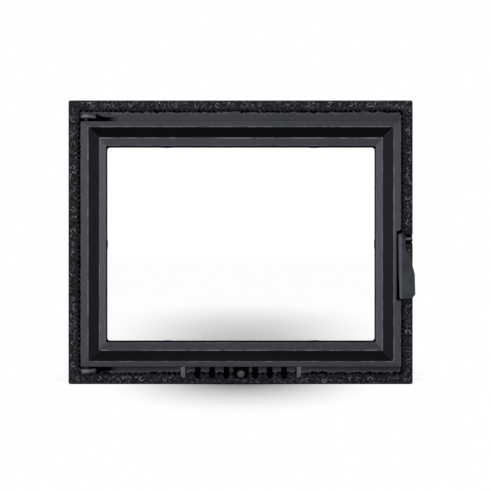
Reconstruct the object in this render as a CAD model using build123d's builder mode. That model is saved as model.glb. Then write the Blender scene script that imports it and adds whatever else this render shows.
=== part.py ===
"""Cast-iron fireplace door: a wall frame with an air slide, a glazed leaf on two pins and a lifting handle.

Millimetres, +Z up. The front faces -Y. The origin is at the bottom edge of the frame, in the middle of its
width, in the plane of the wall that the frame is set against. "Out" is a distance in front of that plane.
"""

import math
import os
import random

from build123d import *

# Outer frame: a cast plate with a raised carved border, a plain ledge and a mouth
frame_width = 490.0
frame_height = 404.0
frame_corner_r = 3.0
border_width = 15.6
border_out = 14.0
border_bevel = 1.5
ledge_out = 8.0
mouth_corner_r = 5.0

# Carving on the border: a bitten inner edge, with curls and pads on the face, all of uneven size
bite_pitch = 7.0
bite_r = 2.3
bite_sides = 6
curl_pitch = 31.0
curl_inset = 7.2
curl_r = 3.2
curl_hole_r = 1.7
curl_mouth = 1.5
curl_height = 1.2
pads_between_curls = 3
pad_r = 1.9
pad_sides = 5
pad_height = 0.8
pad_insets = (4.2, 9.8)
carving_spread = 0.25
carving_seed = 7

# Rear collar that goes into the masonry, with its anchor holes
collar_depth = 38.0
collar_wall = 4.5
collar_foot = 2.5
anchor_r = 4.0
anchor_spacing = 220.0
anchor_depth = 22.0

# Door leaf: a bevelled surround with a window
leaf_gap_left = 18.7
leaf_gap_right = 17.7
leaf_gap_top = 30.7
leaf_foot = 25.5
leaf_rear_out = ledge_out + 0.8
leaf_rim_out = 22.0
inner_band_out = 12.0
lip_out = 9.9
side_band = 11.2
side_slope = 13.6
side_inner = 9.2
side_lip = 2.3
top_band = 8.4
top_slope = 13.7
top_inner = 11.4
top_lip = 2.9
slope_steps = 4
slope_hollow = 0.25
window_corner_r = 4.0
rim_round = 1.2

# Rope seal in a groove round the back of the leaf
seal_inset = 12.0
seal_width = 5.0
groove_depth = 2.8
seal_gap = 0.3
mouth_inset = 17.0

# Glass, its tape, the fence round it and the clips that hold it
glass_thickness = 4.0
glass_overlap = 8.0
glass_corner_r = 3.0
tape_thickness = 1.0
tape_width = 6.0
fence_gap = 0.8
fence_width = 2.0
fence_height = 4.0
clip_boss_r = 4.0
clip_boss_offset = 4.8
clip_width = 14.0
clip_thickness = 1.5
clip_bite = 8.0
clip_end = 3.5
clip_screw_r = 2.0
clip_screw_head_r = 3.6
clip_screw_head = 2.4
clip_screw_grip = 5.7
screw_chamfer = 0.8
clip_side_place = 105.0

# Hinge: two ears on the frame, each with a pin that runs in the leaf
hinge_from_edge = 7.1
hinge_out = 16.5
hinge_round = 7.0
pin_r = 3.0
pin_clearance = 0.05
pin_depth = 13.5
pin_end_gap = 0.5
ear_nose_r = 6.0
ear_reach = 13.2
ear_thickness = 6.4
top_ear_gap = 5.3
bottom_ear_gap = 3.3
pin_collar_r = 5.0

# Pockets in the ledge beside the ears
pocket_depth = 5.0
pocket_floor = 14.5
pocket_ramp = 17.5
pocket_root = 2.0
pocket_rise = 13.0
pocket_end_rise = 7.0

# Handle: a paddle that hangs on a pin in the leaf's right edge. Drops are measured down from the pin.
handle_pivot_rise = 7.0
handle_pivot_out = 17.0
notch_depth = 6.1
notch_drop = 86.5
notch_rise = 11.5
notch_round = 4.0
handle_gap_top = 2.0
handle_gap_bottom = 3.6
handle_stem_past = 3.6
handle_waist_past = 13.0
handle_paddle_past = 16.7
handle_shoulder_drop = 6.8
handle_waist_drop = 35.2
handle_paddle_drop = 49.4
handle_corner_drop = 78.0
handle_slant_drop = 82.6
handle_foot_drop = 84.0
handle_barrel_r = 8.5
handle_neck_r = 6.0
handle_arm_rear_out = 17.6
handle_arm_front_out = 25.5
handle_kick = 6.0
handle_kick_rear_drop = 41.4
handle_kick_front_drop = 46.4
handle_bevel = 2.4
handle_pin_short = 1.2
handle_pin_hold = 6.5
pin_groove_r = 2.25
pin_clip_r = 5.0
pin_clip_mouth = 4.2
pin_clip_bite = 1.2
pin_clip_thickness = 1.0

# Catch behind the handle: a nose on the handle and a keeper in a recess of the border
catch_width = 5.2
catch_recess_out = 4.0
catch_recess_drop = 12.4
catch_recess_rise = 11.6
pin_notch_drop = 6.4
pin_notch_rise = 6.8
nose_gap = 0.5
nose_rear_out = 8.0
nose_top_rise = 5.6
nose_thickness = 2.0
keeper_width = 3.4
keeper_sheet = 2.0
keeper_end_gap = 1.0
keeper_lip_out = 11.0
keeper_gap = 0.4
keeper_rivet_r = 1.2
keeper_rivet_rises = (5.0, 19.0)

# Air slots in the bottom rail, and the slide behind them
slot_width = 8.5
slot_pitch = 20.5
slot_bottom = 7.8
slot_top = 32.0
slots_each_side = 4
knob_hole_width = 22.7
knob_hole_r = 8.0
slide_half_length = 80.0
slide_thickness = 2.0
slide_gap = 0.2
slide_top = 33.0
slide_window_bottom = 11.0
slide_window_top = 29.0
knob_z = 15.1
knob_r = 5.5
knob_head = 6.0
knob_head_out = 17.6
knob_dome = 2.9
knob_neck_r = 3.0
knob_stud_r = 2.0
knob_stud_length = 6.5
nut_across_flats = 7.0
nut_thickness = 3.2
guide_bar = 2.5
guide_width = 11.0
guide_sheet = 1.5
guide_gap = 0.4
guide_top = 42.0
guide_foot = 24.0
guide_screw_z = 39.0
guide_screw_r = 2.0
guide_screw_head_r = 3.2
guide_screw_head = 2.2
guide_screw_grip = 6.0

# Places worked out from the sizes above
frame_half = frame_width / 2
border_inner = frame_half - border_width
leaf_left = leaf_gap_left - frame_half
leaf_right = frame_half - leaf_gap_right
leaf_top = frame_height - leaf_gap_top
leaf_centre_x = (leaf_left + leaf_right) / 2
leaf_centre_z = (leaf_foot + leaf_top) / 2
hinge_x = leaf_left + hinge_from_edge
side_member = side_band + side_slope + side_inner + side_lip
top_member = top_band + top_slope + top_inner + top_lip
glass_front_out = leaf_rear_out - tape_thickness
glass_rear_out = glass_front_out - glass_thickness
clip_rear_out = glass_rear_out - clip_thickness
top_ear_z = leaf_top + top_ear_gap
bottom_ear_z = leaf_foot - bottom_ear_gap - ear_thickness
ear_root_depth = ledge_out - 1.0
pivot_z = leaf_centre_z + handle_pivot_rise
notch_wall_x = leaf_right - notch_depth
handle_left_top = notch_wall_x + handle_gap_top
handle_left_bottom = notch_wall_x + handle_gap_bottom
handle_stem_right = border_inner + handle_stem_past
handle_paddle_right = border_inner + handle_paddle_past
handle_foot = pivot_z - handle_foot_drop
nose_left = border_inner + nose_gap
catch_recess_bottom = pivot_z - catch_recess_drop
catch_recess_top = pivot_z + catch_recess_rise
slot_centres = [leaf_centre_x + side * slot_pitch * step
                for side in (-1, 1) for step in range(1, slots_each_side + 1)]


def front_plane(out):
    """The plane that faces the room, this far in front of the wall. Its x is X and its y is Z."""
    return Plane.XZ.offset(out)


def rect_between(left, right, bottom, top, radius=0.0, mode=Mode.ADD):
    """Draws a rectangle by its edges in the open sketch, with round corners where a radius is given."""
    with Locations(((left + right) / 2, (bottom + top) / 2)):
        if radius:
            RectangleRounded(right - left, top - bottom, radius, mode=mode)
        else:
            Rectangle(right - left, top - bottom, mode=mode)


def leaf_rect(inset_x, inset_z, radius=0.0, mode=Mode.ADD):
    """Draws the leaf's outline moved inwards by these two widths."""
    rect_between(leaf_left + inset_x, leaf_right - inset_x,
                 leaf_foot + inset_z, leaf_top - inset_z, radius, mode)


def glass_rect(outset, radius=0.0, mode=Mode.ADD):
    """Draws the glass outline moved outwards by this much."""
    grow = glass_overlap + outset
    leaf_rect(side_member - grow, top_member - grow, radius, mode)


def border_walk(inset, pitch):
    """Places along a rectangle this far inside the frame's edge, evenly spaced on each side."""
    left, right = inset - frame_half, frame_half - inset
    bottom, top = inset, frame_height - inset
    across = round((right - left) / pitch)
    upright = round((top - bottom) / pitch)
    step_x = (right - left) / across
    step_z = (top - bottom) / upright
    along_x = [(left + step_x * (i + 0.5), z) for i in range(across) for z in (bottom, top)]
    along_z = [(x, bottom + step_z * (i + 0.5)) for i in range(upright) for x in (left, right)]
    return along_x + along_z


def turned(places, luck):
    """The places with a random turn at each."""
    return [Location(place, luck.uniform(0, 360)) for place in places]


def draw_uneven(places, radius, sides, luck, mode=Mode.ADD):
    """Draws a polygon at each place in the open sketch, in three sizes taken at random."""
    groups = {1 - carving_spread: [], 1: [], 1 + carving_spread: []}
    for place in turned(places, luck):
        groups[luck.choice(list(groups))].append(place)
    for size, group in groups.items():
        with Locations(*group):
            RegularPolygon(radius * size, sides, mode=mode)


def draw_curls(luck):
    """Draws the C-shaped curls along the border, each open to a random side."""
    curls = turned(border_walk(curl_inset, curl_pitch), luck)
    with Locations(*curls):
        RegularPolygon(curl_r, 8)
        RegularPolygon(curl_hole_r, 6, mode=Mode.SUBTRACT)
    with Locations(*[curl * Location((curl_r / 2, 0)) for curl in curls]):
        Rectangle(curl_r, curl_mouth, mode=Mode.SUBTRACT)


def pad_places():
    """Where the small pads are: between the curls, at two distances from the frame's edge in turn."""
    places = []
    step = pads_between_curls + 1
    for row, inset in enumerate(pad_insets):
        walk = border_walk(inset, curl_pitch / step)
        places += [place for i, place in enumerate(walk) if i // 2 % 2 != row and i // 2 % step]
    return places


def draw_air_holes(mode=Mode.ADD):
    """Draws the air slots and the knob's hole."""
    with Locations(*[(x, (slot_bottom + slot_top) / 2) for x in slot_centres]):
        SlotOverall(slot_top - slot_bottom, slot_width, rotation=90, mode=mode)
    rect_between(leaf_centre_x - knob_hole_width / 2, leaf_centre_x + knob_hole_width / 2,
                 slot_bottom, slot_top, knob_hole_r, mode)


def draw_pin_notch(mode=Mode.ADD):
    """Draws the notch across the border, in which the free end of the handle's pin lies."""
    rect_between(border_inner, frame_half, pivot_z - pin_notch_drop, pivot_z + pin_notch_rise, mode=mode)


def ear_outline(plan):
    """Draws a hinge ear in plan: a round nose about the pin, spread out to its root on the ledge."""
    with Locations((hinge_x, -hinge_out)):
        Circle(ear_nose_r)
    root = 2 * (ledge_out - ear_root_depth)
    with Locations(((-border_inner + hinge_x + ear_reach) / 2, -ear_root_depth)):
        Rectangle(hinge_x + ear_reach + border_inner, root)
    make_hull(plan.edges())


def clip_places():
    """Name, boss centre and inward direction of each glass clip."""
    left = leaf_left + side_member - glass_overlap - clip_boss_offset
    right = leaf_right - side_member + glass_overlap + clip_boss_offset
    bottom = leaf_foot + top_member - glass_overlap - clip_boss_offset
    top = leaf_top - top_member + glass_overlap + clip_boss_offset
    near, far = leaf_centre_x - clip_side_place, leaf_centre_x + clip_side_place
    return [
        ("top_left", (near, top), (0, -1)),
        ("top_right", (far, top), (0, -1)),
        ("bottom_left", (near, bottom), (0, 1)),
        ("bottom_right", (far, bottom), (0, 1)),
        ("left", (left, leaf_centre_z), (1, 0)),
        ("right", (right, leaf_centre_z), (-1, 0)),
    ]


def make_pocket(edge_z, way):
    """The hollow beside a hinge ear: a flat floor and a ramp, narrowed by a curved outer edge."""
    start = hinge_x + ear_reach
    length = pocket_floor + pocket_ramp
    root_z = edge_z - way * pocket_root
    with BuildPart() as hollow:
        with BuildSketch(Plane.XY.offset(edge_z - pocket_rise)):
            with BuildLine():
                Polyline(
                    (start, -ledge_out),
                    (start, pocket_depth - ledge_out),
                    (start + pocket_floor, pocket_depth - ledge_out),
                    (start + length, -ledge_out),
                    close=True,
                )
            make_face()
        extrude(amount=2 * pocket_rise)
        with BuildSketch(front_plane(0)):
            with BuildLine():
                Polyline(
                    (start, edge_z + way * pocket_rise), (start, root_z),
                    (start + length, root_z), (start + length, edge_z + way * pocket_end_rise),
                )
                Spline(
                    (start + length, edge_z + way * pocket_end_rise),
                    (start, edge_z + way * pocket_rise),
                    tangents=((-1, 0), (-1, way)),
                )
            make_face()
        extrude(amount=ledge_out, mode=Mode.INTERSECT)
    return hollow.part


def make_outer_frame():
    """The cast frame in one piece: carved border, ledge, collar, ears, pockets, slots and recesses."""
    luck = random.Random(carving_seed)
    mouth_left, mouth_right = leaf_left + mouth_inset, leaf_right - mouth_inset
    mouth_bottom, mouth_top = leaf_foot + mouth_inset, leaf_top - mouth_inset
    collar_outer = (mouth_left - collar_wall, mouth_right + collar_wall,
                    collar_foot, mouth_top + collar_wall)
    collar_inner = (mouth_left, mouth_right, collar_foot + collar_wall, mouth_top)
    with BuildPart() as body:
        with BuildSketch(front_plane(0)):
            rect_between(-frame_half, frame_half, 0, frame_height, frame_corner_r)
            rect_between(mouth_left, mouth_right, mouth_bottom, mouth_top, mouth_corner_r, Mode.SUBTRACT)
        extrude(amount=ledge_out)
        with BuildSketch(front_plane(ledge_out)):
            rect_between(-frame_half, frame_half, 0, frame_height, frame_corner_r)
            rect_between(-border_inner, border_inner, border_width, frame_height - border_width,
                         mode=Mode.SUBTRACT)
        extrude(amount=border_out - ledge_out)
        border_face = body.faces().sort_by(Axis.Y)[0]
        chamfer(border_face.outer_wire().edges(), border_bevel)
        with BuildSketch(front_plane(0)):
            rect_between(*collar_outer, mouth_corner_r + collar_wall)
            rect_between(*collar_inner, mouth_corner_r, Mode.SUBTRACT)
        extrude(amount=-collar_depth)
        with BuildSketch(Plane.YZ):
            with Locations((anchor_depth, leaf_centre_z)):
                with GridLocations(0, anchor_spacing, 1, 2):
                    Circle(anchor_r)
        extrude(amount=frame_half, both=True, mode=Mode.SUBTRACT)
        for ear_z in (top_ear_z, bottom_ear_z):
            with BuildSketch(Plane.XY.offset(ear_z)) as ear_plan:
                ear_outline(ear_plan)
            extrude(amount=ear_thickness)
        for ear_z in (top_ear_z, bottom_ear_z):
            with BuildSketch(Plane.XY.offset(ear_z)):
                with Locations((hinge_x, -hinge_out)):
                    Circle(pin_r)
            extrude(amount=ear_thickness, mode=Mode.SUBTRACT)
        for edge_z, way in ((leaf_top, 1), (leaf_foot, -1)):
            add(make_pocket(edge_z, way), mode=Mode.SUBTRACT)
        with BuildSketch(front_plane(border_out)):
            draw_air_holes()
        extrude(amount=-border_out, mode=Mode.SUBTRACT)
        with BuildSketch(front_plane(ledge_out)):
            draw_pin_notch()
        extrude(amount=border_out, mode=Mode.SUBTRACT)
        with BuildSketch(front_plane(catch_recess_out)):
            rect_between(border_inner, border_inner + catch_width, catch_recess_bottom, catch_recess_top)
        extrude(amount=border_out, mode=Mode.SUBTRACT)
        with BuildSketch(front_plane(0)):
            with Locations(*[(x, guide_screw_z) for x in guide_centres()]):
                Circle(guide_screw_r)
        extrude(amount=guide_screw_grip, mode=Mode.SUBTRACT)
        with BuildSketch(front_plane(catch_recess_out)):
            with Locations(*keeper_rivet_places()):
                Circle(keeper_rivet_r)
        extrude(amount=-keeper_sheet, mode=Mode.SUBTRACT)
        with BuildSketch(front_plane(ledge_out)):
            draw_uneven(border_walk(border_width, bite_pitch), bite_r, bite_sides, luck)
            for ear_z in (top_ear_z, bottom_ear_z):
                rect_between(-frame_half, hinge_x, ear_z - bite_r, ear_z + ear_thickness + bite_r,
                             mode=Mode.SUBTRACT)
        extrude(amount=border_out - ledge_out, mode=Mode.SUBTRACT)
        with BuildSketch(front_plane(border_out)):
            draw_curls(luck)
            draw_air_holes(Mode.SUBTRACT)
            draw_pin_notch(Mode.SUBTRACT)
        extrude(amount=curl_height)
        with BuildSketch(front_plane(border_out)):
            draw_uneven(pad_places(), pad_r, pad_sides, luck)
            draw_air_holes(Mode.SUBTRACT)
            draw_pin_notch(Mode.SUBTRACT)
        extrude(amount=pad_height)
    return body.part


def make_door_leaf():
    """The cast leaf: a flat rim, a hollow slope down to an inner band, and a small bevel to the window."""
    with BuildPart() as body:
        with BuildSketch(front_plane(leaf_rear_out)):
            leaf_rect(0, 0)
            leaf_rect(side_member, top_member, window_corner_r, Mode.SUBTRACT)
        extrude(amount=leaf_rim_out - leaf_rear_out)
        upright_edges = body.edges().filter_by(Axis.Z)
        hinge_edge = upright_edges.group_by(Axis.X)[0].sort_by(Axis.Y)[-1]
        fillet(hinge_edge, hinge_round)
        fall = leaf_rim_out - inner_band_out
        for step in range(slope_steps + 1):
            along = step / slope_steps
            down = along + slope_hollow * along * (1 - along)
            with BuildSketch(front_plane(leaf_rim_out - fall * down)):
                leaf_rect(side_band + side_slope * along, top_band + top_slope * along)
        loft(ruled=True, mode=Mode.SUBTRACT)
        for inset_x, inset_z, out in (
            (side_member - side_lip, top_member - top_lip, inner_band_out),
            (side_member, top_member, lip_out),
        ):
            with BuildSketch(front_plane(out)):
                leaf_rect(inset_x, inset_z, window_corner_r)
        loft(ruled=True, mode=Mode.SUBTRACT)
        notch_top = pivot_z + notch_rise
        with BuildSketch(front_plane(leaf_rear_out)):
            rect_between(notch_wall_x, leaf_right, pivot_z - notch_drop, notch_top)
        extrude(amount=leaf_rim_out - leaf_rear_out, mode=Mode.SUBTRACT)
        notch_corner = (leaf_right, -leaf_rim_out, notch_top)
        fillet(body.edges().filter_by(Axis.Y).sort_by_distance(notch_corner)[0], notch_round)
        rim_face = body.faces().sort_by(Axis.Y)[0]
        fillet(rim_face.outer_wire().edges(), rim_round)
        with BuildSketch(front_plane(leaf_rear_out)):
            leaf_rect(seal_inset - seal_width / 2, seal_inset - seal_width / 2, seal_width)
            leaf_rect(seal_inset + seal_width / 2, seal_inset + seal_width / 2, seal_width / 2,
                      Mode.SUBTRACT)
        extrude(amount=groove_depth, mode=Mode.SUBTRACT)
        with BuildSketch(front_plane(leaf_rear_out)):
            glass_rect(fence_gap + fence_width, glass_corner_r + fence_width)
            glass_rect(fence_gap, glass_corner_r, Mode.SUBTRACT)
        extrude(amount=-fence_height)
        with BuildSketch(front_plane(leaf_rear_out)):
            with Locations(*[place for _, place, _ in clip_places()]):
                Circle(clip_boss_r)
        extrude(amount=glass_rear_out - leaf_rear_out)
        with BuildSketch(front_plane(glass_rear_out)):
            with Locations(*[place for _, place, _ in clip_places()]):
                Circle(clip_screw_r)
        extrude(amount=clip_screw_grip, mode=Mode.SUBTRACT)
        for start, reach in ((leaf_top, -pin_depth), (leaf_foot, pin_depth)):
            with BuildSketch(Plane.XY.offset(start)):
                with Locations((hinge_x, -hinge_out)):
                    Circle(pin_r + pin_clearance)
            extrude(amount=reach + math.copysign(pin_end_gap, reach), mode=Mode.SUBTRACT)
        with BuildSketch(Plane.YZ.offset(notch_wall_x)):
            with Locations((-handle_pivot_out, pivot_z)):
                Circle(pin_r)
        extrude(amount=-handle_pin_hold, mode=Mode.SUBTRACT)
    return body.part


def make_glass_pane():
    """Flat heat-proof glass with small round corners."""
    with BuildPart() as body:
        with BuildSketch(front_plane(glass_rear_out)):
            glass_rect(0, glass_corner_r)
        extrude(amount=glass_thickness)
    return body.part


def make_glass_gasket():
    """Flat woven tape between the glass and the back of the leaf."""
    with BuildPart() as body:
        with BuildSketch(front_plane(glass_front_out)):
            glass_rect(0, glass_corner_r)
            glass_rect(-tape_width, glass_corner_r, Mode.SUBTRACT)
        extrude(amount=tape_thickness)
    return body.part


def make_door_gasket():
    """Rope seal laid in the groove at the back of the leaf, just clear of the frame's ledge."""
    with BuildPart() as body:
        with BuildSketch(front_plane(ledge_out + seal_gap)):
            leaf_rect(seal_inset - seal_width / 2, seal_inset - seal_width / 2, seal_width)
            leaf_rect(seal_inset + seal_width / 2, seal_inset + seal_width / 2, seal_width / 2,
                      Mode.SUBTRACT)
        extrude(amount=leaf_rear_out + groove_depth - ledge_out - seal_gap)
    return body.part


def make_glass_clip(place, inward):
    """A flat steel clip, screwed to its boss and reaching over the edge of the glass."""
    reach = clip_boss_offset + clip_bite
    length = reach + clip_end
    middle = (reach - clip_end) / 2
    centre = (place[0] + inward[0] * middle, place[1] + inward[1] * middle)
    size = (length, clip_width) if inward[0] else (clip_width, length)
    with BuildPart() as body:
        with BuildSketch(front_plane(clip_rear_out)):
            with Locations(centre):
                RectangleRounded(*size, clip_end / 2)
            with Locations(place):
                Circle(clip_screw_r, mode=Mode.SUBTRACT)
        extrude(amount=clip_thickness)
    return body.part


def make_clip_screws():
    """The clips' pan-head screws, a separate solid each."""
    places = [place for _, place, _ in clip_places()]
    with BuildPart() as body:
        with BuildSketch(front_plane(clip_rear_out)):
            with Locations(*places):
                Circle(clip_screw_r)
        extrude(amount=clip_thickness + clip_screw_grip)
        with BuildSketch(front_plane(clip_rear_out)):
            with Locations(*places):
                Circle(clip_screw_head_r)
        extrude(amount=-clip_screw_head)
        chamfer(body.faces().group_by(Axis.Y)[-1].edges(), screw_chamfer)
    return body.part


def make_hinge_pin_top():
    """Plain pin, driven down through the top ear into the leaf."""
    with BuildPart() as body:
        with BuildSketch(Plane.XY.offset(leaf_top - pin_depth)):
            with Locations((hinge_x, -hinge_out)):
                Circle(pin_r)
        extrude(amount=pin_depth + top_ear_gap + ear_thickness)
    return body.part


def make_hinge_pin_bottom():
    """Pin in the bottom ear, with a collar that the leaf turns on."""
    with BuildPart() as body:
        with BuildSketch(Plane.XY.offset(bottom_ear_z)):
            with Locations((hinge_x, -hinge_out)):
                Circle(pin_r)
        extrude(amount=ear_thickness + bottom_ear_gap + pin_depth)
        with BuildSketch(Plane.XY.offset(bottom_ear_z + ear_thickness)):
            with Locations((hinge_x, -hinge_out)):
                Circle(pin_collar_r)
        extrude(amount=bottom_ear_gap)
    return body.part


def make_handle():
    """The cast handle: a barrel on its pin, an arm that widens to a paddle, and a nose for the catch."""
    top = pivot_z + handle_barrel_r
    neck_top = pivot_z + handle_neck_r
    shoulder = (handle_stem_right, pivot_z - handle_shoulder_drop)
    waist = (border_inner + handle_waist_past, pivot_z - handle_waist_drop)
    with BuildPart() as body:
        with BuildSketch(front_plane(0)):
            with BuildLine():
                Polyline(
                    (handle_left_bottom, handle_foot), (handle_left_top, top), (border_inner, top),
                    (border_inner, neck_top), (handle_stem_right, neck_top), shoulder,
                )
                Spline(shoulder, waist, tangents=((0, -1), (0, -1)))
                Polyline(
                    waist,
                    (handle_paddle_right, pivot_z - handle_paddle_drop),
                    (handle_paddle_right, pivot_z - handle_corner_drop),
                    (waist[0], pivot_z - handle_slant_drop),
                    (handle_left_bottom, handle_foot),
                )
            make_face()
        extrude(amount=3 * handle_arm_front_out)
        with BuildSketch(Plane.YZ.offset(notch_wall_x)):
            with Locations((-handle_pivot_out, pivot_z)):
                Circle(handle_barrel_r)
            with BuildLine():
                Polyline(
                    (-handle_arm_rear_out, pivot_z),
                    (-handle_arm_rear_out, pivot_z - handle_kick_rear_drop),
                    (-handle_arm_rear_out - handle_kick, handle_foot),
                    (-handle_arm_front_out - handle_kick, handle_foot),
                    (-handle_arm_front_out, pivot_z - handle_kick_front_drop),
                    (-handle_arm_front_out, pivot_z),
                    close=True,
                )
            make_face()
        extrude(amount=handle_paddle_right, mode=Mode.INTERSECT)
        front = -handle_arm_front_out + pin_clearance
        left_edges = [edge for edge in body.edges()
                      if edge.center().X < handle_left_bottom and edge.center().Y < front]
        chamfer(left_edges, handle_bevel)
        with BuildSketch(Plane.YZ.offset(border_inner)):
            rect_between(-handle_pivot_out, 0, pivot_z - handle_barrel_r, top)
            rect_between(-handle_arm_front_out, -handle_pivot_out, pivot_z, top)
        extrude(amount=frame_half, mode=Mode.SUBTRACT)
        with BuildSketch(Plane.YZ.offset(border_inner)):
            with Locations((-handle_pivot_out, pivot_z)):
                Circle(handle_neck_r)
        extrude(amount=handle_stem_past)
        with BuildSketch(Plane.YZ.offset(nose_left)):
            rect_between(-handle_pivot_out, -nose_rear_out,
                         pivot_z - nose_thickness, pivot_z + nose_thickness)
            rect_between(-nose_rear_out - nose_thickness, -nose_rear_out,
                         pivot_z, pivot_z + nose_top_rise)
        extrude(amount=handle_stem_right - nose_left)
        with BuildSketch(Plane.YZ):
            with Locations((-handle_pivot_out, pivot_z)):
                Circle(pin_r + pin_clearance)
        extrude(amount=frame_half, mode=Mode.SUBTRACT)
    return body.part


def make_handle_pin():
    """Pin pressed into the leaf's edge, with a groove for its clip near the handle."""
    clip_x = handle_stem_right + pin_clearance
    with BuildPart() as body:
        with BuildSketch(Plane.YZ.offset(notch_wall_x - handle_pin_hold)):
            with Locations((-handle_pivot_out, pivot_z)):
                Circle(pin_r)
        extrude(amount=frame_half - handle_pin_short - notch_wall_x + handle_pin_hold)
        with BuildSketch(Plane.YZ.offset(clip_x)):
            with Locations((-handle_pivot_out, pivot_z)):
                Circle(pin_r)
                Circle(pin_groove_r, mode=Mode.SUBTRACT)
        extrude(amount=pin_clip_thickness, mode=Mode.SUBTRACT)
    return body.part


def make_pin_clip():
    """Spring clip in the pin's groove, which keeps the handle on."""
    with BuildPart() as body:
        with BuildSketch(Plane.YZ.offset(handle_stem_right + pin_clearance)):
            with Locations((-handle_pivot_out, pivot_z)):
                Circle(pin_clip_r)
                Circle(pin_groove_r, mode=Mode.SUBTRACT)
            rect_between(-handle_pivot_out - pin_clip_mouth / 2, -handle_pivot_out + pin_clip_mouth / 2,
                         pivot_z - pin_clip_r, pivot_z - pin_clip_bite, mode=Mode.SUBTRACT)
        extrude(amount=pin_clip_thickness)
    return body.part


def keeper_rivet_places():
    """Where the keeper's rivets are, in X and Z."""
    x = nose_left + keeper_width / 2
    return [(x, catch_recess_bottom + rise) for rise in keeper_rivet_rises]


def make_latch_keeper():
    """Bent steel keeper in the border's recess. Its lip hangs in front of the handle's nose."""
    lip_bottom = pivot_z + nose_top_rise + keeper_gap
    keeper_top = catch_recess_top - keeper_end_gap
    rear = -catch_recess_out
    with BuildPart() as body:
        with BuildSketch(Plane.YZ.offset(nose_left)):
            rect_between(rear - keeper_sheet, rear, catch_recess_bottom + keeper_end_gap, keeper_top)
            rect_between(-keeper_lip_out - keeper_sheet, rear, keeper_top - keeper_sheet, keeper_top)
            rect_between(-keeper_lip_out - keeper_sheet, -keeper_lip_out, lip_bottom, keeper_top)
        extrude(amount=keeper_width)
        with BuildSketch(front_plane(catch_recess_out)):
            with Locations(*keeper_rivet_places()):
                Circle(keeper_rivet_r)
        extrude(amount=keeper_sheet, mode=Mode.SUBTRACT)
    return body.part


def make_keeper_rivets():
    """Flush rivets that hold the keeper, a separate solid each."""
    with BuildPart() as body:
        with BuildSketch(front_plane(catch_recess_out - keeper_sheet)):
            with Locations(*keeper_rivet_places()):
                Circle(keeper_rivet_r)
        extrude(amount=2 * keeper_sheet)
    return body.part


def make_air_slide():
    """Flat steel slide that closes the slots at rest and opens them as it moves either way."""
    windows = [leaf_centre_x + side * slot_pitch * (step + 0.5)
               for side in (-1, 1) for step in range(1, slots_each_side)]
    with BuildPart() as body:
        with BuildSketch(front_plane(-slide_gap)):
            rect_between(leaf_centre_x - slide_half_length, leaf_centre_x + slide_half_length,
                         collar_foot + collar_wall + slide_gap, slide_top)
            with Locations(*[(x, (slide_window_bottom + slide_window_top) / 2) for x in windows]):
                SlotOverall(slide_window_top - slide_window_bottom, slot_width, rotation=90,
                            mode=Mode.SUBTRACT)
            with Locations((leaf_centre_x, knob_z)):
                Circle(knob_stud_r, mode=Mode.SUBTRACT)
        extrude(amount=-slide_thickness)
    return body.part


def make_air_knob():
    """Turned knob: a domed head in front of the border, a neck through its hole and a threaded stud."""
    with BuildPart() as body:
        with BuildSketch(front_plane(knob_head_out)):
            with Locations((leaf_centre_x, knob_z)):
                Circle(knob_r)
        extrude(amount=knob_head)
        fillet(body.faces().sort_by(Axis.Y)[0].edges(), knob_dome)
        with BuildSketch(front_plane(-slide_gap)):
            with Locations((leaf_centre_x, knob_z)):
                Circle(knob_neck_r)
        extrude(amount=knob_head_out + slide_gap)
        with BuildSketch(front_plane(-slide_gap)):
            with Locations((leaf_centre_x, knob_z)):
                Circle(knob_stud_r)
        extrude(amount=-knob_stud_length)
    return body.part


def make_knob_nut():
    """Hexagon nut that clamps the knob's stud to the slide."""
    with BuildPart() as body:
        with BuildSketch(front_plane(-slide_gap - slide_thickness)):
            with Locations((leaf_centre_x, knob_z)):
                RegularPolygon(nut_across_flats / 2, 6, major_radius=False)
                Circle(knob_stud_r, mode=Mode.SUBTRACT)
        extrude(amount=-nut_thickness)
    return body.part


def guide_centres():
    """Middle of each slide guide: behind a bar of the rail, so that it shows through no slot."""
    offset = slot_pitch * guide_bar
    return [leaf_centre_x - offset, leaf_centre_x + offset]


def make_slide_guide(x):
    """Steel strap, screwed to the back of the rail and stepped over the slide."""
    strap_front = slide_gap + slide_thickness + guide_gap
    strap_rear = strap_front + guide_sheet
    shoulder = slide_top + guide_gap
    with BuildPart() as body:
        with BuildSketch(Plane.YZ.offset(x - guide_width / 2)):
            rect_between(0, guide_sheet, shoulder, guide_top)
            rect_between(0, strap_rear, shoulder, shoulder + guide_sheet)
            rect_between(strap_front, strap_rear, guide_foot, shoulder + guide_sheet)
        extrude(amount=guide_width)
        with BuildSketch(front_plane(0)):
            with Locations((x, guide_screw_z)):
                Circle(guide_screw_r)
        extrude(amount=-guide_sheet, mode=Mode.SUBTRACT)
    return body.part


def make_guide_screws():
    """The guides' screws, a separate solid each."""
    places = [(x, guide_screw_z) for x in guide_centres()]
    with BuildPart() as body:
        with BuildSketch(front_plane(-guide_sheet)):
            with Locations(*places):
                Circle(guide_screw_r)
        extrude(amount=guide_sheet + guide_screw_grip)
        with BuildSketch(front_plane(-guide_sheet)):
            with Locations(*places):
                Circle(guide_screw_head_r)
        extrude(amount=-guide_screw_head)
        chamfer(body.faces().group_by(Axis.Y)[-1].edges(), screw_chamfer)
    return body.part


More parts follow.
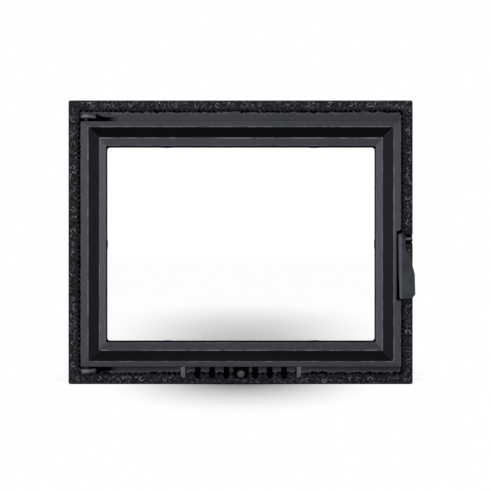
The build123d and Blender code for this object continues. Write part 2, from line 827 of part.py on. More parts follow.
pieces = {
    "outer_frame": make_outer_frame(),
    "door_leaf": make_door_leaf(),
    "glass_pane": make_glass_pane(),
    "glass_gasket": make_glass_gasket(),
    "door_gasket": make_door_gasket(),
    "glass_clip_screws": make_clip_screws(),
    "hinge_pin_top": make_hinge_pin_top(),
    "hinge_pin_bottom": make_hinge_pin_bottom(),
    "handle": make_handle(),
    "handle_pin": make_handle_pin(),
    "pin_clip": make_pin_clip(),
    "latch_keeper": make_latch_keeper(),
    "keeper_rivets": make_keeper_rivets(),
    "air_slide": make_air_slide(),
    "air_knob": make_air_knob(),
    "knob_nut": make_knob_nut(),
    "guide_screws": make_guide_screws(),
}
for clip_name, clip_place, clip_inward in clip_places():
    pieces[f"glass_clip_{clip_name}"] = make_glass_clip(clip_place, clip_inward)
for guide_name, guide_x in zip(("left", "right"), guide_centres()):
    pieces[f"slide_guide_{guide_name}"] = make_slide_guide(guide_x)

os.makedirs("parts", exist_ok=True)
for name, piece in pieces.items():
    piece.label = name
    export_step(piece, f"parts/{name}.step")
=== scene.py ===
"""Looks of a cast-iron fireplace door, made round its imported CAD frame, in metres."""

import math
import random

import bpy
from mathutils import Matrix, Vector


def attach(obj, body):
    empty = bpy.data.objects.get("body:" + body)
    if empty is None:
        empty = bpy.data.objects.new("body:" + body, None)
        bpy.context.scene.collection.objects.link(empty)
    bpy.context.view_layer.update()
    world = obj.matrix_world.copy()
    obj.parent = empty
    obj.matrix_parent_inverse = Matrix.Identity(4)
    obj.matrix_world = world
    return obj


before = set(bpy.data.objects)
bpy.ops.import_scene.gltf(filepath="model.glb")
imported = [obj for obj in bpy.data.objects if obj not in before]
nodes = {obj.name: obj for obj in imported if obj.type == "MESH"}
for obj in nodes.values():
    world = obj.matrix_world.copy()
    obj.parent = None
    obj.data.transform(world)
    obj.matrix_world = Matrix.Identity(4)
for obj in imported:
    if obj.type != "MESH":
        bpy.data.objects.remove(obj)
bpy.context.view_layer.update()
MM = 0.001


# The camera stands square in front of the door, a little below its middle, as for a shop photograph.
# The photograph is 491 pixels wide and shows 1.4224 mm of the border's face in each pixel.
PHOTO_PIXELS = 491
PIXEL_SIZE = 1.4224 * MM
BORDER_FRONT = 14.0 * MM
CAMERA_DISTANCE = 1.6
VIEW_CENTRE_X = 7.0 * MM
VIEW_CENTRE_Z = 197.4 * MM
SENSOR = 36.0

camera_data = bpy.data.cameras.new("camera")
camera_data.sensor_width = SENSOR
camera_data.lens = SENSOR * CAMERA_DISTANCE / (PHOTO_PIXELS * PIXEL_SIZE)
camera_data.clip_start = 0.05
camera = bpy.data.objects.new("camera", camera_data)
camera.location = (VIEW_CENTRE_X, -BORDER_FRONT - CAMERA_DISTANCE, VIEW_CENTRE_Z)
camera.rotation_euler = (math.radians(90), 0, 0)
bpy.context.scene.collection.objects.link(camera)
bpy.context.scene.camera = camera
bpy.context.scene.view_settings.view_transform = "Standard"


# The leaf is smooth sand-cast iron, brushed with satin black stove paint.
# Its flat bands carry a painted grey sheen, most on the side bands, and painted highlights at their edges,
# partly wear. The slopes are darker as painted shade: darker at the top and foot than at the sides.
LEAF_LEFT, LEAF_RIGHT = -226.3 * MM, 227.3 * MM
LEAF_FOOT, LEAF_TOP = 25.5 * MM, 373.3 * MM
SIDE_WIDTHS = (11.2 * MM, 13.6 * MM, 9.2 * MM, 2.3 * MM)
TOP_WIDTHS = (8.4 * MM, 13.7 * MM, 11.4 * MM, 2.9 * MM)
LEAF_REAR_OUT = 8.8 * MM
HALF_HEIGHT = 0.2
NOTCH_LEFT = 214.5 * MM
NOTCH_FOOT = 113 * MM
NOTCH_TOP = 222 * MM
NOTCH_FRONT = 20.2 * MM
FLAT_GREY = 0.026
# Painted shade: each slope's colour is set by which way it faces.
SLOPE_TOP_SHADE = 0.0016
SLOPE_SIDE_SHADE = 0.0045
SLOPE_FOOT_SHADE = 0.0015
# A painted highlight, partly wear, for the leaf's edges.
EDGE_HIGHLIGHT_AND_WEAR = 0.17
SHEEN = 0.22


class Wire:
    """A socket of a paint's nodes. An expression written on it adds the Math nodes that it needs."""

    def __init__(self, paint, socket):
        self.paint, self.socket = paint, socket

    def maths(self, operation, first, second):
        return self.paint.node("ShaderNodeMath", {"operation": operation}, {0: first, 1: second})

    def __add__(self, other):
        return self.maths("ADD", self, other)

    def __radd__(self, other):
        return self.maths("ADD", other, self)

    def __sub__(self, other):
        return self.maths("SUBTRACT", self, other)

    def __rsub__(self, other):
        return self.maths("SUBTRACT", other, self)

    def __mul__(self, other):
        return self.maths("MULTIPLY", self, other)

    def __rmul__(self, other):
        return self.maths("MULTIPLY", other, self)

    def __truediv__(self, other):
        return self.maths("DIVIDE", self, other)

    def __pow__(self, other):
        return self.maths("POWER", self, other)

    def least(self, other):
        return self.maths("MINIMUM", self, other)

    def most(self, other):
        return self.maths("MAXIMUM", self, other)

    def unsigned(self):
        return self.maths("ABSOLUTE", self, 0)

    def sine(self):
        return self.maths("SINE", self, 0)

    def between(self, low, high):
        """0 below low, 1 above high and smooth in between."""
        return self.paint.node(
            "ShaderNodeMapRange", {"interpolation_type": "SMOOTHSTEP"},
            {"Value": self, "From Min": low, "From Max": high})


class Paint:
    """The nodes of one finish of the door, or of the studio's light."""

    def __init__(self, owner, place="Object"):
        owner.use_nodes = True
        self.owner, self.tree = owner, owner.node_tree
        self.tree.nodes.clear()
        self.place = self.node("ShaderNodeTexCoord", output=place)

    def node(self, kind, settings=None, sockets=None, output=0):
        """Adds a node: its settings first, then the values or wires of its sockets."""
        made = self.tree.nodes.new(kind)
        for name, value in (settings or {}).items():
            setattr(made, name, value)
        for name, value in (sockets or {}).items():
            if isinstance(value, Wire):
                self.tree.links.new(value.socket, made.inputs[name])
            else:
                made.inputs[name].default_value = value
        return Wire(self, made.outputs[output])

    def axes(self):
        """The place's X, Y and Z."""
        first = self.node("ShaderNodeSeparateXYZ", {}, {"Vector": self.place})
        return [Wire(self, socket) for socket in first.socket.node.outputs]

    def ray(self, kind):
        """1 where the surface is met by this kind of ray."""
        return self.node("ShaderNodeLightPath", output=kind)

    def noise(self, scale, detail=3.0, rough=0.55):
        """Smooth noise, 0 to 1, with this many features to a metre."""
        return self.node("ShaderNodeTexNoise", {}, {
            "Vector": self.place, "Scale": scale, "Detail": detail, "Roughness": rough})

    def cells(self, scale):
        """Distance to the nearest of scattered points, with this many points to a metre."""
        return self.node("ShaderNodeTexVoronoi", {"feature": "F1"}, {
            "Vector": self.place, "Scale": scale}, output="Distance")

    def part_of(self, value, start, end):
        """How far a value has come from start to end, 0 to 1 and straight."""
        return self.node("ShaderNodeMapRange", {}, {"Value": value, "From Min": start, "From Max": end})

    def band(self, value, middle, reach):
        """1 at the middle, 0 this far to both sides of it."""
        return 1 - (value - middle).unsigned().between(0, reach)

    def blend(self, first, second, amount):
        """A colour between two colours."""
        return self.node("ShaderNodeMix", {"data_type": "RGBA"}, {0: amount, 6: first, 7: second}, output=2)

    def bump(self, height, depth):
        """A normal bent by a height, whose full range is this deep in metres."""
        return self.node("ShaderNodeBump", {}, {"Height": height, "Distance": depth, "Strength": 1.0})

    def mix(self, amount, first, second):
        """A shader between two shaders."""
        return self.node("ShaderNodeMixShader", {}, {0: amount, 1: first, 2: second})

    def finish(self, black=None, **sockets):
        """Ends in a Principled shader with these sockets, with a dead black where black is 1."""
        names = {name.replace("_", " "): value for name, value in sockets.items()}
        shader = self.node("ShaderNodeBsdfPrincipled", {}, names)
        if black:
            dead = self.node("ShaderNodeBsdfPrincipled", {}, {
                "Base Color": grey(0.0006), "Roughness": 0.9, "Specular IOR Level": 0.02})
            shader = self.mix(black, shader, dead)
        return self.end(shader)

    def end(self, shader, kind="ShaderNodeOutputMaterial"):
        """Joins the last shader to the output."""
        output = self.tree.nodes.new(kind)
        self.tree.links.new(shader.socket, output.inputs["Surface"])
        return self.owner


def grey(level, blue=1.34):
    """A cold grey of this level, as linear colour."""
    return (level * (1.9 - blue * 0.75), level, level * blue, 1.0)


def coat(piece, material):
    """Gives an object this one material."""
    piece.data.materials.clear()
    piece.data.materials.append(material)


def beside_handle(x, z, left):
    """1 in the notch that the handle lies in, from this far left."""
    above_foot = z.between(NOTCH_FOOT - 1 * MM, NOTCH_FOOT + 1 * MM)
    below_top = 1 - z.between(NOTCH_TOP - 1 * MM, NOTCH_TOP + 1 * MM)
    return x.between(left, left + 1.5 * MM) * above_foot * below_top


def leaf_ring(paint, inset, widths):
    """A count that grows by 1 over each of the rim, the slope, the inner band and the window's bevel."""
    ring, start = 0, 0
    for width in widths:
        ring = paint.part_of(inset, start, start + width) + ring
        start += width
    return ring


def leaf_paint():
    paint = Paint(bpy.data.materials.new("leaf_paint"))
    x, depth, z = paint.axes()
    out = depth * -1
    side_ring = leaf_ring(paint, (x - LEAF_LEFT).least(LEAF_RIGHT - x), SIDE_WIDTHS)
    end_ring = leaf_ring(paint, (z - LEAF_FOOT).least(LEAF_TOP - z), TOP_WIDTHS)
    ring = side_ring.least(end_ring)
    on_end = (side_ring - end_ring).between(-0.01, 0.01)
    on_front = out.between(LEAF_REAR_OUT, LEAF_REAR_OUT + 0.4 * MM)
    on_slope = ring.between(0.97, 1.0) * (1 - ring.between(1.97, 2.01)) * on_front
    upper = z.between(HALF_HEIGHT - 10 * MM, HALF_HEIGHT + 10 * MM)

    # Painted shade: darkest on the top slope, dark on the foot slope, lighter on the side slopes.
    slope = paint.blend(grey(SLOPE_FOOT_SHADE), grey(SLOPE_TOP_SHADE, 1.8), upper)
    slope = paint.blend(grey(SLOPE_SIDE_SHADE, 1.5), slope, on_end)
    # Painted highlight along the mitre lines of the slopes.
    mitre_highlight = paint.band(side_ring - end_ring, 0, 0.06)
    slope = paint.blend(slope, grey(0.05), mitre_highlight * 0.5)

    drift = paint.noise(13, 3, 0.5) * 0.6 + paint.noise(70, 4, 0.65) * 0.4
    flat = paint.blend(grey(FLAT_GREY * 0.72), grey(FLAT_GREY * 1.5), drift)
    # Painted sheen: lighter on the left and right bands, most on the inner band, a little on the lower
    # half.
    side_sheen = 1 - (side_ring - end_ring).between(-0.5, 0.5)
    side_sheen = (side_sheen * (ring.between(2.0, 2.1) * 0.5 + 0.35)).most((1 - upper) * 0.14)
    flat = paint.blend(flat, grey(FLAT_GREY * 2.8, 1.2), side_sheen)
    pores = paint.cells(330).between(0.10, 0.24)
    flat = paint.blend(grey(FLAT_GREY * 0.45), flat, pores)
    shade = paint.blend(flat, slope, on_slope)

    # Painted highlights, partly wear, along the edges of rim, slope, inner band and bevel, made patchy by
    # noise.
    wear_and_glint = paint.noise(45, 4, 0.7).between(0.42, 0.62)
    rim_foot = paint.band(ring, 0.93, 0.13) * (1 - on_slope)
    band_edge = paint.band(ring, 2.06, 0.10)
    bevel_edge = paint.band(ring, 3.0, 0.10)
    outer_edge = paint.band(ring, 0.03, 0.07) * (1 - on_end)
    edge = (rim_foot * 0.8 + band_edge + bevel_edge * 0.5 + outer_edge * 0.5) * on_front
    shade = paint.blend(shade, grey(EDGE_HIGHLIGHT_AND_WEAR, 1.2), edge.least(1) * (wear_and_glint * 0.8 + 0.12))

    # Painted shade, dead black: the window's bevel, the walls of the handle's notch and partly the foot
    # slope.
    bevel = ring.between(3.15, 3.5) * on_front
    notch = beside_handle(x, z, NOTCH_LEFT)
    notch = notch * (1 - out.between(NOTCH_FRONT - 1.2 * MM, NOTCH_FRONT + 1.2 * MM))
    foot_slope_shade = on_slope * on_end * (1 - upper) * 0.28
    grain = paint.noise(900, 4, 0.6)
    sand = grain * 0.5 + paint.noise(260, 3, 0.5) * 0.5
    return paint.finish(
        black=bevel.most(notch).most(foot_slope_shade), Base_Color=shade,
        Roughness=0.40 + grain * 0.10 + on_slope * 0.06, Specular_IOR_Level=SHEEN,
        Normal=paint.bump(sand, 0.12 * MM))


coat(nodes["door_leaf"], leaf_paint())


# The outer frame is one casting: a carved border round a plain ledge, with a plate collar at the back.
# It has the same paint, dead black as painted shade in the pockets, holes, hinge corners and the gap
# under the carving, with painted highlights on the ears' edges beside the leaf and on the ledge's wavy
# edge, and dull on the back, where the sand of the mould shows.
FRAME_WIDTH = 490.0 * MM
FRAME_HEIGHT = 404.0 * MM
BORDER_WIDTH = 15.6 * MM
LEDGE_OUT = 8.0 * MM
POCKET_OUT = 3.4 * MM
EAR_RIGHT = -206 * MM
TOP_EAR_FOOT, TOP_EAR_TOP = 378.6 * MM, 385.0 * MM
LOW_EAR_FOOT, LOW_EAR_TOP = 15.8 * MM, 22.2 * MM
CATCH_LEFT = 213.5 * MM
EDGE_WAVE = 10 * MM
PLAIN_RIM = 0.009
# Painted highlights: the ledge's wavy edge and the ears' edges.
LEDGE_HIGHLIGHT = 0.10
EAR_HIGHLIGHT = 0.13


def from_edge(x, z):
    """How far inside the frame's outline a place is."""
    upright = (z - FRAME_HEIGHT / 2).unsigned()
    return (FRAME_WIDTH / 2 - x.unsigned()).least(FRAME_HEIGHT / 2 - upright)


def hinge_corners(x, out, z):
    """Masks: level with the ears, on the ledge, and on the ledge in the gaps between ears and leaf."""
    near_ear = 1 - x.between(EAR_RIGHT, EAR_RIGHT + 2 * MM)
    on_ledge = 1 - out.between(LEDGE_OUT + 0.3 * MM, LEDGE_OUT + 1.2 * MM)
    top_gap = z.between(TOP_EAR_FOOT - 9 * MM, TOP_EAR_FOOT - 8 * MM)
    top_gap = top_gap * (1 - z.between(TOP_EAR_FOOT, TOP_EAR_TOP))
    low_gap = z.between(LOW_EAR_FOOT, LOW_EAR_TOP)
    low_gap = low_gap * (1 - z.between(LOW_EAR_TOP + 5.8 * MM, LOW_EAR_TOP + 6.8 * MM))
    return near_ear, on_ledge, near_ear * on_ledge * top_gap.most(low_gap)


def frame_paint():
    paint = Paint(bpy.data.materials.new("frame_paint"))
    x, depth, z = paint.axes()
    out = depth * -1
    inset = from_edge(x, z)
    behind = depth.between(-1 * MM, 2 * MM)
    near_ear, on_ledge, corners = hinge_corners(x, out, z)

    shade = paint.blend(grey(FLAT_GREY * 0.8), grey(FLAT_GREY * 1.7), paint.noise(12, 3, 0.5))
    wavy = inset + (paint.noise(190, 2, 0.6) - 0.5) * EDGE_WAVE
    # Painted highlight along the ledge's wavy edge beside the carving.
    ledge_glint = paint.band(wavy, BORDER_WIDTH + 2.1 * MM, 1.3 * MM)
    shade = paint.blend(shade, grey(LEDGE_HIGHLIGHT, 1.25), ledge_glint * 0.6)
    shade = paint.blend(grey(PLAIN_RIM), shade, inset.between(1.0 * MM, 2.0 * MM))

    # Painted shade, dead black: the gap under the carving's edge and the border's face in the carving's
    # hollows.
    gap = 1 - wavy.between(BORDER_WIDTH + 0.3 * MM, BORDER_WIDTH + 1.2 * MM)
    on_border = (out - BORDER_FRONT).between(-0.8 * MM, -0.2 * MM)
    gap = gap * (1 - on_border * 0.30) * inset.between(0.1 * MM, 1.4 * MM)
    # Painted shade in the pockets, slots and notches below the ledge.
    hollow_shade = 1 - out.between(POCKET_OUT, LEDGE_OUT - 0.3 * MM)
    # A painted shadow line on the ledge along the leaf's top and foot; painted shade in the hinge corners.
    leaf_edge_shadow = paint.band(z, LEAF_TOP + 0.5 * MM, 0.9 * MM) + paint.band(z, LEAF_FOOT - 0.5 * MM, 0.9 * MM)
    corners = corners.most(leaf_edge_shadow * on_ledge * 0.6)
    # Painted shade in the catch's recess beside the handle.
    catch = beside_handle(x, z, CATCH_LEFT)
    catch = catch * (1 - out.between(BORDER_FRONT - 0.6 * MM, BORDER_FRONT - 0.2 * MM))

    # Painted highlight on the ears' edges next to the leaf.
    top_shine = paint.band(z, TOP_EAR_FOOT + 1.8 * MM, 3.8 * MM)
    low_shine = paint.band(z, LOW_EAR_TOP - 2.4 * MM, 3.4 * MM)
    ear_shine = (top_shine + low_shine) * near_ear * out.between(LEDGE_OUT + 1 * MM, LEDGE_OUT + 2 * MM)
    shade = paint.blend(shade, grey(EAR_HIGHLIGHT, 1.2), ear_shine * (1 - gap))
    shade = paint.blend(shade, grey(FLAT_GREY * 0.6), behind)

    grain = paint.noise(700, 4, 0.65)
    sand = grain * 0.6 + paint.noise(220, 3, 0.5) * 0.4
    return paint.finish(
        black=gap.most(hollow_shade).most(corners).most(catch) * (1 - behind), Base_Color=shade,
        Roughness=0.42 + grain * 0.12 + behind * 0.15, Specular_IOR_Level=SHEEN,
        Normal=paint.bump(sand, 0.16 * MM))


coat(nodes["outer_frame"], frame_paint())


# The carving is cast with the border: lumps and small curls like beaten bark, with a lobed inner edge.
# Here it is a skin on the border's face, let into it, with curls and lobes seated on it.
SKIN_WIDTH = 12.0 * MM
RIM_PLAIN = 1.3 * MM
CARVING_BASE = 14.5 * MM
CARVING_DEPTH = 2.4 * MM
CARVING_STEP = 0.8 * MM
FADE_START = -0.3 * MM
FADE_WIDTH = 1.8 * MM
CURL_PITCH = 15.5 * MM
CURL_R = 3.0 * MM
CURL_WIRE = 0.95 * MM
LOBE_PITCH = 5.2 * MM
LOBE_R = 2.0 * MM
SLOT_WIDTH = 8.5 * MM
SLOT_PITCH = 20.5 * MM
SLOT_FOOT = 7.8 * MM
SLOT_STRETCH = 16 * MM
SLOT_ROW_MIDDLE = 0.5 * MM
SLOT_ROW_HALF = 88 * MM
SLOT_ROW_TOP = 20 * MM
KNOB_HOLE = 22.7 * MM
KNOB_HOLE_DROP = 1.5 * MM
CUT_DEPTH = 30 * MM
PIN_NOTCH = (228.8 * MM, 246.0 * MM, 199.5 * MM, 213.7 * MM)
CATCH_RECESS = (228.8 * MM, 235.2 * MM, 193.5 * MM, 218.5 * MM)
HANDLE_SIDE = 228 * MM
PIN_FOOT, PIN_TOP = 192 * MM, 220 * MM
luck = random.Random(11)


def only(piece):
    """Makes this the one object that is selected and active."""
    bpy.ops.object.select_all(action="DESELECT")
    piece.select_set(True)
    bpy.context.view_layer.objects.active = piece


def settle(piece):
    """Puts the object's place, turn and size into its mesh."""
    only(piece)
    bpy.ops.object.transform_apply(location=True, rotation=True, scale=True)


def select_only(mesh, parts, chosen):
    """Selects these of the mesh's faces, edges or vertices, from object mode."""
    for group in (mesh.polygons, mesh.edges, mesh.vertices):
        group.foreach_set("select", [False] * len(group))
    parts.foreach_set("select", chosen)


def select_faces(piece, wanted):
    """Selects the faces whose middle passes the test."""
    faces = piece.data.polygons
    select_only(piece.data, faces, [wanted(face.center) for face in faces])


def select_edges(piece, wanted):
    """Selects the edges whose middle passes the test."""
    mesh = piece.data
    ends = [[mesh.vertices[i].co for i in edge.vertices] for edge in mesh.edges]
    select_only(mesh, mesh.edges, [wanted((first + last) / 2) for first, last in ends])


def select_corners(piece, wanted):
    """Selects the vertices that pass the test."""
    corners = piece.data.vertices
    select_only(piece.data, corners, [wanted(corner.co) for corner in corners])


def in_edit(piece, operation, picks="FACE", **options):
    """Runs one edit-mode operator on the piece's selected faces, or on its edges or corners."""
    only(piece)
    bpy.context.tool_settings.mesh_select_mode = [picks == kind for kind in ("VERT", "EDGE", "FACE")]
    bpy.ops.object.mode_set(mode="EDIT")
    operation(**options)
    bpy.ops.object.mode_set(mode="OBJECT")


def add_modifier(piece, name, kind, **settings):
    """Adds a modifier, sets it and applies it."""
    only(piece)
    modifier = piece.modifiers.new(name, kind)
    for key, value in settings.items():
        setattr(modifier, key, value)
    bpy.ops.object.modifier_apply(modifier=modifier.name)


def copies(first, places):
    """Copies a piece, each with its own mesh, to places given as location, turn and size."""
    made = []
    for location, turn, size in places:
        copy = first.copy()
        copy.data = first.data.copy()
        copy.location, copy.rotation_euler, copy.scale = location, turn, size
        bpy.context.scene.collection.objects.link(copy)
        made.append(copy)
    bpy.data.objects.remove(first)
    return made


def join(pieces, name):
    """Joins pieces into one smooth object with its place in its mesh."""
    only(pieces[0])
    for piece in pieces:
        piece.select_set(True)
    bpy.ops.object.join()
    joined = bpy.context.object
    joined.name = name
    settle(joined)
    bpy.ops.object.shade_smooth()
    return joined


def carving_slab():
    """The border's face as a thin flat ring, still without its openings and lumps."""
    bpy.ops.object.select_all(action="DESELECT")
    bpy.ops.mesh.primitive_plane_add(
        size=1, location=(0, -CARVING_BASE, FRAME_HEIGHT / 2), rotation=(math.radians(90), 0, 0))
    slab = bpy.context.object
    slab.scale = (FRAME_WIDTH - 2 * RIM_PLAIN, FRAME_HEIGHT - 2 * RIM_PLAIN, 1)
    settle(slab)
    in_edit(slab, bpy.ops.mesh.inset, thickness=SKIN_WIDTH - RIM_PLAIN)
    in_edit(slab, bpy.ops.mesh.delete, type="FACE")
    add_modifier(slab, "thickness", "SOLIDIFY", thickness=CARVING_DEPTH, offset=-1)
    return slab


def slot_cutters():
    """Round-ended blocks for the air slots, and a wider one for the knob's hole."""
    bpy.ops.object.select_all(action="DESELECT")
    slot_centre = SLOT_FOOT + SLOT_WIDTH / 2
    bpy.ops.mesh.primitive_cylinder_add(
        vertices=24, radius=SLOT_WIDTH / 2, depth=CUT_DEPTH,
        location=(0, -CARVING_BASE, slot_centre), rotation=(math.radians(90), 0, 0))
    slot = bpy.context.object
    settle(slot)
    select_corners(slot, lambda place: place.z > slot_centre)
    in_edit(slot, bpy.ops.transform.translate, picks="VERT", value=(0, 0, SLOT_STRETCH))
    places = [
        ((SLOT_ROW_MIDDLE + side * SLOT_PITCH * step, 0, 0), (0, 0, 0), (1, 1, 1))
        for side in (-1, 1) for step in (1, 2, 3, 4)]
    knob_hole = (KNOB_HOLE / SLOT_WIDTH, 1, 1.2)
    places.append(((SLOT_ROW_MIDDLE, 0, -KNOB_HOLE_DROP), (0, 0, 0), knob_hole))
    return copies(slot, places)


def square_cutter(left, right, foot, top):
    """A square block with these sides."""
    bpy.ops.object.select_all(action="DESELECT")
    bpy.ops.mesh.primitive_cube_add(
        size=1, location=((left + right) / 2, -CARVING_BASE, (foot + top) / 2))
    block = bpy.context.object
    block.scale = (right - left, CUT_DEPTH, top - foot)
    settle(block)
    return block


def cut_openings(slab):
    """Cuts the air slots, the knob's hole, the pin's notch and the catch's recess."""
    cutters = slot_cutters() + [square_cutter(*PIN_NOTCH), square_cutter(*CATCH_RECESS)]
    for cutter in cutters:
        add_modifier(slab, "opening", "BOOLEAN", object=cutter, operation="DIFFERENCE")
        bpy.data.objects.remove(cutter)


def push(skin, name, kind, size, reach, level, **settings):
    """Pushes the skin's face in and out by a texture with features of this size."""
    pattern = bpy.data.textures.new(name, kind)
    pattern.noise_scale = size
    for key, value in settings.items():
        setattr(pattern, key, value)
    add_modifier(
        skin, name, "DISPLACE", texture=pattern, direction="Y", texture_coords="LOCAL",
        strength=reach, mid_level=level, vertex_group="face")


def raise_lumps(skin):
    """Remeshes the ring finely and raises lumps, wrinkles and a slow swell on its face."""
    add_modifier(skin, "grid", "REMESH", mode="VOXEL", voxel_size=CARVING_STEP)
    face = skin.vertex_groups.new(name="face")
    half_x, half_z = FRAME_WIDTH / 2 - RIM_PLAIN, FRAME_HEIGHT / 2 - RIM_PLAIN
    for corner in skin.data.vertices:
        inset = min(half_x - abs(corner.co.x), half_z - abs(corner.co.z - FRAME_HEIGHT / 2))
        if -corner.co.y > CARVING_BASE - CARVING_DEPTH / 2:
            weight = (inset - FADE_START) / FADE_WIDTH
            face.add([corner.index], max(0, min(1, weight)), "REPLACE")
    push(skin, "lumps", "VORONOI", 4.4 * MM, 3.4 * MM, 0.42, distance_metric="DISTANCE")
    push(skin, "wrinkles", "CLOUDS", 3.2 * MM, -3.6 * MM, 0.42, noise_type="HARD_NOISE", noise_depth=1)
    push(skin, "swell", "CLOUDS", 15 * MM, -1.4 * MM, -0.1, noise_depth=1)


def ring_walk(inset, pitch, jitter):
    """Places along a rectangle inside the frame's edge, unevenly spaced."""
    half_x, half_z = FRAME_WIDTH / 2 - inset, FRAME_HEIGHT / 2 - inset
    centre = FRAME_HEIGHT / 2
    sides = (
        ((-half_x, centre + half_z), (1, 0), 2 * half_x),
        ((half_x, centre + half_z), (0, -1), 2 * half_z),
        ((half_x, centre - half_z), (-1, 0), 2 * half_x),
        ((-half_x, centre - half_z), (0, 1), 2 * half_z),
    )
    for start, way, length in sides:
        count = round(length / pitch)
        for i in range(count):
            along = (i + 0.5 + luck.uniform(-jitter, jitter)) * length / count
            yield start[0] + way[0] * along, start[1] + way[1] * along


def in_the_way(x, z, reach):
    """True where the handle's notch, an air slot or the knob's hole cuts the border."""
    notch = x > HANDLE_SIDE and PIN_FOOT - reach < z < PIN_TOP + reach
    slots = z < SLOT_ROW_TOP and abs(x - SLOT_ROW_MIDDLE) < SLOT_ROW_HALF + reach
    return notch or slots


def carving_curls():
    """Small C-shaped curls, each a ring of round wire with a gap, half sunk in the carving."""
    bpy.ops.object.select_all(action="DESELECT")
    bpy.ops.mesh.primitive_torus_add(
        major_segments=16, minor_segments=8, major_radius=CURL_R, minor_radius=CURL_WIRE,
        rotation=(math.radians(90), 0, 0))
    ring = bpy.context.object
    settle(ring)
    select_faces(ring, lambda middle: middle.x > CURL_R * 0.6)
    in_edit(ring, bpy.ops.mesh.delete, type="FACE")
    select_edges(ring, lambda middle: middle.x > CURL_R * 0.5)
    in_edit(ring, bpy.ops.mesh.edge_face_add, picks="EDGE")
    places = []
    for x, z in ring_walk(BORDER_WIDTH * 0.46, CURL_PITCH, 0.3):
        if in_the_way(x, z, CURL_R):
            continue
        size = luck.uniform(0.82, 0.98) if len(places) % 2 else luck.uniform(0.5, 0.65)
        places.append((
            (x, -CARVING_BASE - size * 0.9 * MM, z + luck.uniform(-1.5, 1.5) * MM),
            (luck.uniform(-0.12, 0.12), luck.uniform(0, math.tau), luck.uniform(-0.12, 0.12)),
            (size * luck.uniform(0.75, 1.1), 1, size)))
    return copies(ring, places)


def carving_lobes():
    """The lobed inner edge: rounded pads of uneven size, side by side."""
    bpy.ops.object.select_all(action="DESELECT")
    bpy.ops.mesh.primitive_uv_sphere_add(segments=12, ring_count=8, radius=LOBE_R)
    places = []
    for x, z in ring_walk(SKIN_WIDTH + 0.9 * MM, LOBE_PITCH, 0.3):
        if in_the_way(x, z, LOBE_R):
            continue
        size = luck.uniform(0.65, 1.1)
        places.append((
            (x, -CARVING_BASE + 2.0 * MM, z), (0, luck.uniform(0, math.pi), 0),
            (size * luck.uniform(0.8, 1.25), 1.5 * size, size * luck.uniform(0.8, 1.25))))
    return copies(bpy.context.object, places)


def carving_paint():
    """Black paint over the carving, dull and darker in the hollows and by the inner edge as painted shade,
    and grey on the high spots, partly wear and partly painted highlight.
    """
    paint = Paint(bpy.data.materials.new("carving_paint"))
    x, depth, z = paint.axes()
    height = depth * -1 - CARVING_BASE
    high = height.between(-0.6 * MM, 0.8 * MM)
    crest = height.between(0.9 * MM, 2.1 * MM)
    inner_edge_shade = from_edge(x, z).between(SKIN_WIDTH - 0.6 * MM, SKIN_WIDTH + 1.6 * MM)
    grain = paint.noise(800, 4, 0.6)
    wear_and_glint = paint.noise(24, 3, 0.6).between(0.3, 0.6) * 0.7 + 0.3
    # Painted shade: darker in the hollows. Painted highlight, partly wear, on the crests.
    shade = paint.blend(grey(0.003), grey(0.024), high)
    shade = paint.blend(shade, grey(0.15, 1.15), crest * wear_and_glint)
    # Painted shade: partly dead black in the hollows and a little near the inner edge.
    return paint.finish(
        black=(1 - high) * 0.32 + high * inner_edge_shade * 0.1, Base_Color=shade,
        Roughness=0.44 - high * 0.10 + grain * 0.10, Specular_IOR_Level=0.35,
        Normal=paint.bump(grain + paint.cells(420) * 0.6, 0.22 * MM))


carving = carving_slab()
cut_openings(carving)
raise_lumps(carving)
carving = join([carving], "border_carving")
curls = join(carving_curls(), "border_curls")
lobes = join(carving_lobes(), "border_lobes")
carving_coat = carving_paint()
for piece in (carving, curls, lobes):
    coat(piece, carving_coat)
    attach(piece, "frame")


# The handle is a small casting with the same paint, a little glossier where hands rub it
# and with a painted highlight on the bevel of its left side.
HANDLE_LEFT = 227.0 * MM
BEVEL_WIDTH = 1.2 * MM


def handle_paint():
    paint = Paint(bpy.data.materials.new("handle_paint"))
    x, _, _ = paint.axes()
    grain = paint.noise(900, 4, 0.6)
    rubbed = paint.noise(50, 3, 0.55).between(0.35, 0.7)
    shade = paint.blend(grey(FLAT_GREY * 0.7), grey(FLAT_GREY * 1.15), rubbed)
    # Painted highlight on the bevel of the left side.
    uneven = x + (paint.noise(120, 3, 0.6) - 0.5) * BEVEL_WIDTH
    bevel = 1 - uneven.between(HANDLE_LEFT, HANDLE_LEFT + BEVEL_WIDTH)
    shade = paint.blend(shade, grey(0.085, 1.25), bevel * 0.8)
    return paint.finish(
        Base_Color=shade, Roughness=0.38 + grain * 0.12, Specular_IOR_Level=SHEEN,
        Normal=paint.bump(grain, 0.10 * MM))


coat(nodes["handle"], handle_paint())


# Steel: rod for the pins, bare sheet for clips and guides, plated screws, a black slide and knob.
# The handle's pin has a painted highlight where it lies in the border's notch and is dead black behind
# the handle, as painted shade. The hinge pins, keeper and pin clip are painted dark as painted shade.
# Where the handle pin's painted shade ends and its painted highlight begins.
PIN_LIT_FROM = 226.5 * MM


